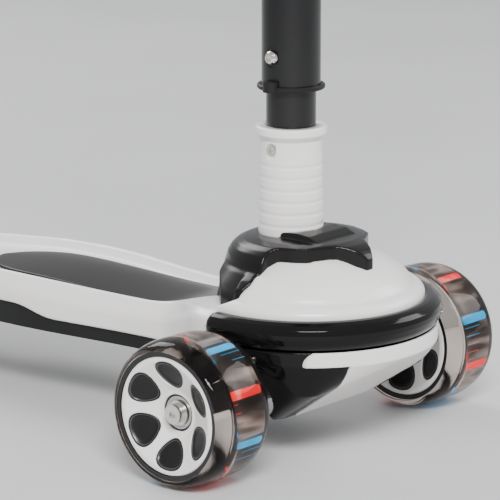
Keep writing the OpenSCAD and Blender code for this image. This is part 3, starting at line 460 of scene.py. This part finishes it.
def build_deck():
    """The white moulding: deck and dome as one hollow piece."""
    sections = [deck_section(y) for y in spread(DECK_START, DECK_END, 90)]
    deck = loft("deck_moulding", sections, [MAT["white"]], None)
    dome = lathe("dome_part", DOME + [(0, 80)], P(0, HEAD_Y, 0), (0, 0, 1), [MAT["white"]], None,
                 seg=160)
    cut(dome, behind_dome(0, 24))
    core = [p for p in DOME if p[0] < CORE_R]
    inner_dome = lathe("dome_core", core + [(CORE_R, 129.1), (CORE_R, 80), (0, 80)],
                       P(0, HEAD_Y, 0), (0, 0, 1), [MAT["white"]], None)
    join([deck, dome, inner_dome])
    soften(deck, 0.9, 5)
    inner = [(max(0, r - 3), z - 3) for r, z in DOME[:-2]] + [(77, 100), (77, 40), (0, 40)]
    hollow = lathe("dome_cavity", inner, P(0, HEAD_Y, 0), (0, 0, 1), [], None, seg=96)
    cut(hollow, behind_dome(3, 23.5))
    cut(deck, hollow)
    core = [(max(0, r - 3), z - 3) for r, z in core] + [(CORE_R - 3, 126.1), (CORE_R - 3, 40), (0, 40)]
    cut(deck, lathe("core_cavity", core, P(0, HEAD_Y, 0), (0, 0, 1), [], None, seg=96))
    ys = spread(SHOULDER_Y + 3, DECK_END - 3, 60)
    cavity = []
    for y in ys:
        half, under = deck_half(y) - DECK_WALL, floor_height(y) - DECK_WALL
        outline = ((half, 40), (half, under), (-half, under), (-half, 40))
        cavity.append([P(x, y, z) for x, z in outline])
    cut(deck, loft("deck_cavity", cavity, [], None))
    stem = [(0, 100), (STEM_R + 0.05, 100), (STEM_R + 0.05, 160), (0, 160)]
    cut(deck, lathe("stem_hole", stem, P(0, STEM_Y, 0), (0, 0, 1), [], None, seg=64))
    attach(deck, "frame")
    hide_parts("deck_shell")


def pad_half(y):
    if y < PAD_FRONT + PAD_ROUND:
        return PAD_HALF * math.sqrt(max(0, 1 - ((PAD_FRONT + PAD_ROUND - y) / PAD_ROUND) ** 2))
    if y < WIDE_Y:
        return PAD_HALF
    return PAD_HALF * math.sqrt(max(0, 1 - ((y - WIDE_Y) / (PAD_BACK - WIDE_Y)) ** 2))


def build_pad():
    """Foot pad with a rolled edge, in rows across the deck, cut round the foot of the saddle."""
    rings = []
    rows = 90
    first, last = PAD_FRONT + 1.0, PAD_BACK - 0.1
    for i in range(rows + 1):
        y = first + (last - first) * (1 - math.cos(math.pi * i / rows)) / 2
        h = max(pad_half(y), 0.4)
        edge = min(1.0, h / 6)
        top = floor_height(y) - 0.2 + 2.45 * (0.35 + 0.65 * edge)
        half = [(h, floor_height(y) - 1.1), (h, top - 1.2), (h - 0.35 * edge, top - 0.55),
                (h - 1.2 * edge, top - 0.08), (h - 2.6 * edge, top), (h * 0.5, top + 0.35 * edge),
                (0, top + 0.5 * edge)]
        rings.append([P(x, y, z) for x, z in half] + [P(-x, y, z) for x, z in half[-2::-1]])
    pad = loft("foot_pad", rings, [MAT["pad"]], None)
    head = [(0, 60), (FOOT_R + 0.55, 60), (FOOT_R + 0.55, 160), (0, 160)]
    cut(pad, lathe("head_clear", head, P(0, HEAD_Y, 0), (0, 0, 1), [], None, seg=160))
    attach(pad, "frame")
    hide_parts("deck_pad")


def build_bumper():
    """Black bumper swept round the front of the head, thinner towards its two ends."""
    b = BUMPER_R - RIM_R
    section = [(0.05, 86), (4, 85.2), (8.2, 86.6), (b - 1.6, 90), (b - 0.2, 94), (b, 97),
               (b - 0.9, 100.4), (b - 3.2, 103), (b - 6.2, 104.6), (3, 105.0), (0.05, 104.9)]
    section = rounded(section, 1.6, 3)
    rings = []
    end = math.acos((SHOULDER_Y - 0.3 - HEAD_Y) / (BUMPER_R - 5))
    n = 120
    cx, cz = 5.5, 95.2
    for i in range(n + 1):
        a = -math.pi / 2 + (i / n - 0.5) * 2 * (math.pi - end)
        edge = min(i, n - i) / n * 2 * (math.pi - end) * BUMPER_R
        k = math.sqrt(max(0.2, 1 - (1 - min(1, edge / 4)) ** 2))
        ring = []
        for dr, z in section:
            r = RIM_R + (cx + (dr - cx) * (0.25 + 0.75 * k) if dr > 1 else dr)
            zz = cz + (z - cz) * (0.35 + 0.65 * k)
            ring.append(P(r * math.cos(a), HEAD_Y + r * math.sin(a), zz))
        rings.append(ring)
    ob = loft("bumper", rings, [MAT["gloss"]], "frame")
    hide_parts("front_bumper")


def build_neck():
    """White neck with finger grooves, a top flange and the seat of its screw."""
    r = size("neck_sleeve").x / 2 / MM - 3.2
    lo, hi = NECK_LO, NECK_HI
    pts = [(STEM_R + 0.05, lo), (r + 0.6, lo), (r + 1.1, lo + 0.6), (r + 1.0, lo + 7)]
    rad = [0, 0.4, 0.4, 0.4]
    for i in range(6):
        z = lo + 8.7 + i * 8.2
        w = 1.0 - 0.12 * i
        pts += [(r + w, z), (r + w - 0.36, z + 1.1), (r + w - 0.4, z + 2.0), (r + w - 0.06, z + 3.6)]
        rad += [0.9, 0.7, 0.7, 1.4]
    pts += [(r + 0.25, hi - 22), (r, hi - 9.2), (r + 2.5, hi - 6.3), (r + 3.2, hi - 5.2),
            (r + 3.2, hi - 1), (r + 2.2, hi), (STEM_R + 0.05, hi)]
    rad += [1, 1.2, 0.5, 0.5, 0.7, 0.7, 0]
    ob = lathe("neck_grip", rounded(pts, rad, 3), P(0, STEM_Y, 0), (0, 0, 1), [MAT["white"]], None,
               seg=112)
    hole = [(0, 0), (4.1, 0), (4.1, 8), (0, 8)]
    cut(ob, lathe("screw_seat", hole, P(-r - 6.4, STEM_Y, hi - 15), (1, 0, 0), [], None, seg=40))
    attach(ob, "frame")
    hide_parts("neck_sleeve")


def softened(node, name, mat, body="frame", voxel=0.8, rounds=5):
    """Stands in for a CAD node with its own shape, with softened edges."""
    ob = copy_of(node, name, MAT[mat])
    soften(ob, voxel, rounds)
    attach(ob, body)
    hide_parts(node)
    return ob


# ---------------------------------------------------------------- wheels
def tyre_profile(half, outer, core, crown=3.1, n=26):
    pts = []
    t = outer - core
    for i in range(n + 1):
        x = half * math.cos(math.pi * i / n)
        pts.append((core + t * (0.12 + 0.88 * math.sqrt(max(0, 1 - (abs(x) / half) ** crown))), x))
    return pts + [(core + 0.05, -half), (core + 0.05, half)]


def light_bars(name, centre, half, core, count, body, sign, node):
    """Rounded bars of light let into the core, parallel to the axle."""
    verts, faces, fm = [], [], []
    length, w = half - 4.6, 3.0
    prof = [(-w, -2.2), (-w, -0.3), (-w * 0.75, 0.1), (0, 0.25), (w * 0.75, 0.1), (w, -0.3), (w, -2.2)]
    for i in range(count):
        a = TAU * (i + 0.5) / count
        rot = Matrix.Rotation(a, 3, "X")
        start = len(verts)
        xs = [-length, -length + 0.4, -length + 1.6, length - 1.6, length - 0.4, length]
        ks = [0.55, 0.85, 1, 1, 0.85, 0.55]
        for x, k in zip(xs, ks):
            for py, pz in prof:
                v = rot @ Vector((x, py * k, core - 0.35 + pz * (1 if pz < -1 else k)))
                verts.append(Vector(centre) + v * MM)
        n = len(prof)
        for j in range(len(xs) - 1):
            for k in range(n):
                faces.append([start + j * n + k, start + j * n + (k + 1) % n,
                              start + (j + 1) * n + (k + 1) % n, start + (j + 1) * n + k])
                fm.append(i % 2)
        faces += [[start + k for k in range(n)][::-1], [start + (len(xs) - 1) * n + k for k in range(n)]]
        fm += [i % 2] * 2
    mats = [MAT["red"], MAT["cyan"]] if sign > 0 else [MAT["cyan"], MAT["red"]]
    ob = mesh_object(name, verts, faces, mats, body, face_mats=fm)
    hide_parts(node)


def build_wheel(side, centre, half, outer, body, count):
    core = outer - 7
    tyre = lathe("tyre_clear_" + side, tyre_profile(half, outer, core), centre, (1, 0, 0),
                 [MAT["tyre"]], body, seg=160)
    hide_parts("tyre_" + side)
    light_bars("light_bars_" + side, centre, half, core, count, body, 1 if side == "left" else -1,
               "lights_" + side)
    rim = NODES["rim_" + side]
    rim.data.materials.clear()
    rim.data.materials.append(rim_material(side, centre, core, count))
    bevel(rim, 0.35, 2)


def math_node(nodes, links, op, *values):
    node = nodes.new("ShaderNodeMath")
    node.operation = op
    for socket, value in zip(node.inputs, values):
        if isinstance(value, (int, float)):
            socket.default_value = value
        else:
            links.new(value, socket)
    return node.outputs["Value"]


def light_spill(nodes, links, sep, mask, count, side):
    """Glow round each light bar and thin reflected lines between them, by angle about the axle."""
    def calc(op, *values):
        return math_node(nodes, links, op, *values)

    turn = calc("ARCTAN2", calc("MULTIPLY", sep.outputs["Y"], -1.0), sep.outputs["Z"])
    wave = calc("COSINE", calc("MULTIPLY", turn, float(count)))
    near = calc("POWER", calc("MAXIMUM", calc("MULTIPLY", wave, -1.0), 0.0), 14.0)
    pair = calc("SINE", calc("MULTIPLY", turn, count / 2.0))
    fine = calc("COSINE", calc("MULTIPLY", turn, 6.0 * count))
    line = calc("GREATER_THAN", fine, 0.975)
    patch = noise(nodes, links, 34, 1.0)
    shown = calc("GREATER_THAN", patch.outputs["Fac"], 0.54)
    glow = calc("ADD", calc("MULTIPLY", near, 0.9), calc("MULTIPLY", calc("MULTIPLY", line, shown), 1.6))
    red, cyan = (1.0, 0.0, 0.02, 1), (0.0, 0.45, 1.0, 1)
    tint = nodes.new("ShaderNodeMix")
    tint.data_type = "RGBA"
    tint.inputs["A"].default_value = cyan if side != "right" else red
    tint.inputs["B"].default_value = red if side != "right" else cyan
    links.new(calc("GREATER_THAN", pair, 0.0), tint.inputs["Factor"])
    return tint.outputs["Result"], calc("MULTIPLY", glow, mask)


def rim_material(side, centre, core, lights):
    """Black core with a foil band where the clear tyre covers it; the band's bright silver streaks are a
    painted reflection, and the glow round the light bars is painted light.
    """
    m, nodes, links, b = principled("core_" + side, (0.02, 0.02, 0.021), 0.35)
    tc = nodes.new("ShaderNodeTexCoord")
    sub = nodes.new("ShaderNodeVectorMath")
    sub.operation = "SUBTRACT"
    sub.inputs[1].default_value = tuple(centre)
    links.new(tc.outputs["Object"], sub.inputs[0])
    flat = nodes.new("ShaderNodeVectorMath")
    flat.operation = "MULTIPLY"
    flat.inputs[1].default_value = (0, 1, 1)
    links.new(sub.outputs["Vector"], flat.inputs[0])
    length = nodes.new("ShaderNodeVectorMath")
    length.operation = "LENGTH"
    links.new(flat.outputs["Vector"], length.inputs[0])
    edge = math_node(nodes, links, "GREATER_THAN", length.outputs["Value"], (core - 0.5) * MM)
    sep = nodes.new("ShaderNodeSeparateXYZ")
    links.new(sub.outputs["Vector"], sep.inputs[0])
    across = math_node(nodes, links, "ABSOLUTE", sep.outputs["X"])
    inside = math_node(nodes, links, "LESS_THAN", across, size("rim_" + side).x / 2 - 0.0035)
    covered = math_node(nodes, links, "MULTIPLY", edge, inside)
    n = noise(nodes, links, 1.0, 2.5, 0.6, (8, 36, 36))
    # Foil band colours: dark foil, with bright silver streaks painted in as a reflection.
    stops = [(0.44, (0.012, 0.007, 0.005)), (0.50, (0.045, 0.030, 0.023)), (0.55, (0.50, 0.49, 0.50)),
             (0.60, (0.85, 0.84, 0.86)), (0.64, (0.30, 0.29, 0.30)), (0.72, (0.03, 0.02, 0.016))]
    foil_with_painted_gleam = ramp(nodes, links, n.outputs["Fac"], stops)
    mix = nodes.new("ShaderNodeMix")
    mix.data_type = "RGBA"
    mix.inputs["A"].default_value = (0.008, 0.008, 0.0085, 1)
    links.new(covered, mix.inputs["Factor"])
    links.new(foil_with_painted_gleam.outputs["Color"], mix.inputs["B"])
    # Painted light: the core emits a glow round each light bar and painted reflected lines between them.
    spill = light_spill(nodes, links, sep, covered, lights, side)
    links.new(spill[0], b.inputs["Emission Color"])
    links.new(spill[1], b.inputs["Emission Strength"])
    links.new(mix.outputs["Result"], b.inputs["Base Color"])
    return m


EGG_POINTS = 40


def egg(hole_r, long, wide, grow):
    """Egg-shaped outline of a hole in the disc, wider on its outer side."""
    turns = [TAU * i / EGG_POINTS for i in range(EGG_POINTS)]
    return [(hole_r + (long + grow) * math.cos(a),
             (wide + grow) * (0.97 + 0.3 * math.cos(a)) * math.sin(a)) for a in turns]


def disc_height(r, disc_r, half, dish=11.4):
    """Outer face of the dished disc at radius r, from the wheel's middle."""
    face = half - 0.9
    t = (r - 15.25) / (disc_r - 4 - 15.25)
    return face - dish * (1 - max(0, min(1, t)))


def build_inserts(side, centre, half, outer, body, holes=6):
    """Black pads in the holes of both discs of a front wheel, each with a paler border."""
    disc_r = outer - 10
    hole_mid = (disc_r + 15) / 2 - 0.6
    long = (disc_r - 15) / 2 - 2.6
    wide = hole_mid * math.sin(math.pi / holes) - 2
    verts, faces, fm = [], [], []
    n = EGG_POINTS
    steps = [(-0.12, -2.6, 1), (-0.12, -0.9, 1), (-0.4, -0.5, 1), (-1.0, -0.4, 0), (-1.5, -0.45, 0),
             (-1.8, -0.9, 1), (-2.4, -1.35, 1), (-5.0, -1.2, 1), (-7.0, -1.1, 1)]
    for s in (1, -1):
        for h in range(holes):
            rot = Matrix.Rotation(math.pi / 2 + TAU * h / holes, 3, "X")
            start = len(verts)
            for grow, rise, _ in steps:
                for u, v in egg(hole_mid, long, wide, grow):
                    x = disc_height(math.hypot(u, v), disc_r, half) + rise
                    verts.append(Vector(centre) + rot @ Vector((s * x, u, v)) * MM)
            for j in range(len(steps) - 1):
                for k in range(n):
                    k2 = (k + 1) % n
                    faces.append([start + j * n + k, start + j * n + k2,
                                  start + (j + 1) * n + k2, start + (j + 1) * n + k])
                    fm.append(1 - steps[j][2])
            faces.append([start + k for k in range(n)])
            fm.append(0)
            faces.append([start + (len(steps) - 1) * n + k for k in range(n)])
            fm.append(0)
    ob = mesh_object("hole_pads_" + side, verts, faces, [MAT["core"], MAT["border"]], body,
                     face_mats=fm)
    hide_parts("inserts_" + side)


def paint(slot_key, *nodes, edge=0.3, segments=2):
    for node in nodes:
        ob = NODES[node]
        ob.data.materials.clear()
        ob.data.materials.append(MAT[slot_key])
        if edge:
            bevel(ob, edge, segments)


build_deck()
build_pad()
build_bumper()
build_neck()
softened("saddle_cover", "saddle", "saddle", voxel=0.8, rounds=8)
softened("lower_housing", "keel_housing", "gloss", voxel=0.8, rounds=5)
softened("chin_trim", "chin_band", "white", voxel=0.6, rounds=5)
for side, s in (("left", 1), ("right", -1)):
    c = mid("tyre_" + side)
    build_wheel(side, c, WHEEL_HALF, WHEEL_R, "wheel_" + side, 8)
    build_inserts(side, c, WHEEL_HALF, WHEEL_R, "wheel_" + side)
    for face in ("outer", "inner"):
        softened(f"disc_{face}_{side}", f"wheel_disc_{face}_{side}", "white",
                 "wheel_" + side, voxel=0.5, rounds=4)
    paint("steel", "bearings_" + side)
build_wheel("rear", mid("tyre_rear"), REAR_HALF, REAR_R, "wheel_rear", 6)
paint("steel", "bearings_rear", "kingpin_bolt", "kingpin_nut", "guide_peg", "clamp_bolt", "axle_rear",
      "brake_pin", "brake_spring", "joint_bolt")
paint("chrome", "tube_bolt", "neck_screw", "axle_left", "axle_right", "housing_screws", "deck_screws")
paint("satin", "deck_base", "clamp_collar", "clamp_lever", "bar_joint", "brake_fender", "end_ring",
      edge=0.8, segments=3)
paint("tube", "outer_tube", "lower_tube")
paint("alloy", "inner_tube", "crossbar")
paint("cast", "chassis", "truck_beam", edge=0.8)
paint("magnet", "magnet_left", "magnet_right", "magnet_rear")
paint("rubber", "steer_stops", "centring_bush", "brake_shoe", "grip_left", "grip_right", edge=0.4)


# ---------------------------------------------------------------- floor and light
def build_floor():
    m, nodes, links, b = principled("floor", (0.62, 0.62, 0.62), 0.7)
    n = noise(nodes, links, 3)
    r = ramp(nodes, links, n.outputs["Fac"], [(0.3, (0.60, 0.60, 0.60)), (0.7, (0.64, 0.64, 0.64))])
    links.new(r.outputs["Color"], b.inputs["Base Color"])
    v = [(-6, -6, 0), (6, -6, 0), (6, 6, 0), (-6, 6, 0)]
    ob = mesh_object("floor", v, [[0, 1, 2, 3]], [m], None, smooth=False)
    ob.location.z = -0.0002


def area(name, loc, target, size_m, power, ratio=1.0):
    d = bpy.data.lights.new(name, "AREA")
    d.shape = "RECTANGLE"
    d.size, d.size_y = size_m, size_m * ratio
    d.energy = power
    ob = bpy.data.objects.new(name, d)
    bpy.context.collection.objects.link(ob)
    ob.location = loc
    ob.rotation_mode = "QUATERNION"
    ob.rotation_quaternion = (Vector(target) - Vector(loc)).to_track_quat("-Z", "Y")


build_floor()
world = bpy.data.worlds.new("studio")
bpy.context.scene.world = world
world.use_nodes = True
world.node_tree.nodes["Background"].inputs["Color"].default_value = (0.9, 0.92, 0.95, 1)
world.node_tree.nodes["Background"].inputs["Strength"].default_value = 0.68
area("key", (-1.6, -1.7, 1.9), (0, AY, 0.12), 1.0, 105, ratio=0.6)
area("fill", (1.9, -1.4, 1.3), (0, AY, 0.12), 1.2, 26)
area("back", (0.6, 1.9, 1.7), (0, AY, 0.15), 1.2, 30)
